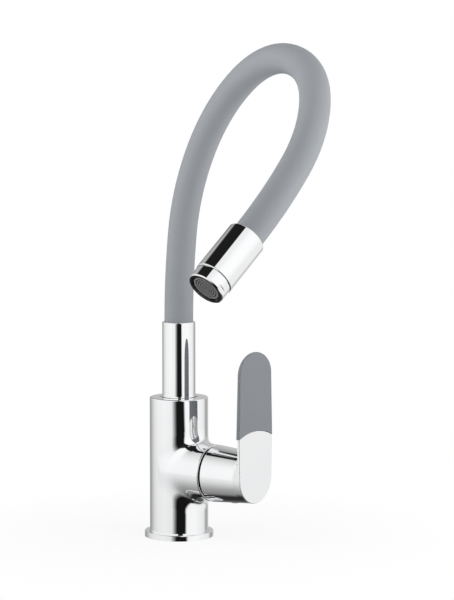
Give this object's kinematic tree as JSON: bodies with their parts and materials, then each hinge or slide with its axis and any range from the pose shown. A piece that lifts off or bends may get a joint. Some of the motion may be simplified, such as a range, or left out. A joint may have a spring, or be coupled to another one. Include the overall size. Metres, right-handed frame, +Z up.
{
  "type": "sink mixer",
  "caption": "Deck-mounted sink mixer with a side lever and a swivelling spout whose flexible hose holds its bent shape and ends in a round aerator nozzle.",
  "frame": {"origin": "centre of the base's underside, on the deck", "axes": "+Z up along the column, +X along the branch towards the lever, -Y towards the user and the sink"},
  "size_m": [0.2194, 0.22, 0.3758],
  "materials": {
    "chrome": "polished chrome plate on brass",
    "grey_silicone": "matte moulded silicone",
    "grip_plastic": "satin moulded plastic",
    "black_rubber": "matte rubber",
    "water_hose_rubber": "smooth lining hose",
    "cartridge_plastic": "acetal, natural white",
    "ceramic": "lapped alumina",
    "brass": "machined",
    "steel": "stainless, bright",
    "index_plastic": "gloss",
    "aerator_plastic": "moulded, dark grey"
  },
  "bodies": {
    "body": {"body_casting": "chrome", "base_ring": "chrome", "base_gasket": "black_rubber", "cartridge_base": "cartridge_plastic", "cartridge_seals": "black_rubber", "cartridge_housing": "cartridge_plastic", "fixed_disc": "ceramic", "cartridge_nut": "brass", "dome_cap": "chrome", "swivel_bush": "cartridge_plastic", "spout_retaining_screw": "steel"},
    "rotor": {"cartridge_rotor": "cartridge_plastic", "pivot_pin": "steel"},
    "disc": {"moving_disc": "ceramic", "disc_carrier": "cartridge_plastic"},
    "lever": {"lever_handle": "chrome", "lever_grip": "grip_plastic", "spindle": "steel", "grub_screw": "steel", "index_plug": "index_plastic"},
    "spout": {"stem_tube": "chrome", "stem_seal_rings": "black_rubber", "hose_lower_fitting": "brass", "hose_sleeve_1": "grey_silicone", "flex_arm_1": "steel", "water_hose_1": "water_hose_rubber"},
    "hose_2": {"hose_sleeve_2": "grey_silicone", "flex_arm_2": "steel", "water_hose_2": "water_hose_rubber"},
    "hose_3": {"hose_sleeve_3": "grey_silicone", "flex_arm_3": "steel", "water_hose_3": "water_hose_rubber"},
    "hose_4": {"hose_sleeve_4": "grey_silicone", "flex_arm_4": "steel", "water_hose_4": "water_hose_rubber"},
    "hose_5": {"hose_sleeve_5": "grey_silicone", "flex_arm_5": "steel", "water_hose_5": "water_hose_rubber"},
    "hose_6": {"hose_sleeve_6": "grey_silicone", "flex_arm_6": "steel", "water_hose_6": "water_hose_rubber"},
    "nozzle": {"hose_sleeve_7": "grey_silicone", "flex_arm_7": "steel", "water_hose_7": "water_hose_rubber", "hose_upper_fitting": "brass", "nozzle_sleeve": "chrome", "nozzle_washer": "black_rubber", "aerator_housing": "chrome", "aerator_insert": "aerator_plastic"}
  },
  "joints": [
    {"name": "temperature", "type": "hinge", "parent": "body", "child": "rotor", "pos_m": [0.027, 0, 0.052], "axis": [1, 0, 0], "range_deg": [-50, 50]},
    {"name": "flow", "type": "hinge", "parent": "rotor", "child": "lever", "pos_m": [0.027, 0, 0.052], "axis": [0, 1, 0], "range_deg": [0, 25]},
    {"name": "disc_slide", "type": "slide", "parent": "rotor", "child": "disc", "axis": [0, 0, 1], "range_m": [0, 0.00419]},
    {"name": "spout_swivel", "type": "hinge", "parent": "body", "child": "spout", "pos_m": [0, 0, 0.0808], "axis": [0, 0, 1], "continuous": true},
    {"name": "hose_bend_1", "type": "hinge", "parent": "spout", "child": "hose_2", "pos_m": [0.00272, 0.00107, 0.23272], "axis": [-0.1658, 0.986, -0.0181], "range_deg": [-25, 12]},
    {"name": "hose_bend_2", "type": "hinge", "parent": "hose_2", "child": "hose_3", "pos_m": [0.01832, 0.00488, 0.29748], "axis": [0.3264, 0.9203, -0.2158], "range_deg": [-25, 12]},
    {"name": "hose_bend_3", "type": "hinge", "parent": "hose_3", "child": "hose_4", "pos_m": [0.05925, 0.00249, 0.34919], "axis": [0.3644, 0.8891, -0.2771], "range_deg": [-25, 12]},
    {"name": "hose_bend_4", "type": "hinge", "parent": "hose_4", "child": "hose_5", "pos_m": [0.11948, -0.01771, 0.36358], "axis": [0.2575, 0.7804, -0.5698], "range_deg": [-25, 12]},
    {"name": "hose_bend_5", "type": "hinge", "parent": "hose_5", "child": "hose_6", "pos_m": [0.16596, -0.05403, 0.33485], "axis": [-0.1074, 0.6832, -0.7223], "range_deg": [-25, 12]},
    {"name": "hose_bend_6", "type": "hinge", "parent": "hose_6", "child": "nozzle", "pos_m": [0.18177, -0.09976, 0.28924], "axis": [-0.2362, 0.6651, -0.7084], "range_deg": [-25, 12]}
  ],
  "couplings": [
    {"joint": "disc_slide", "follows": "flow", "m_per_rad": 0.009492}
  ]
}
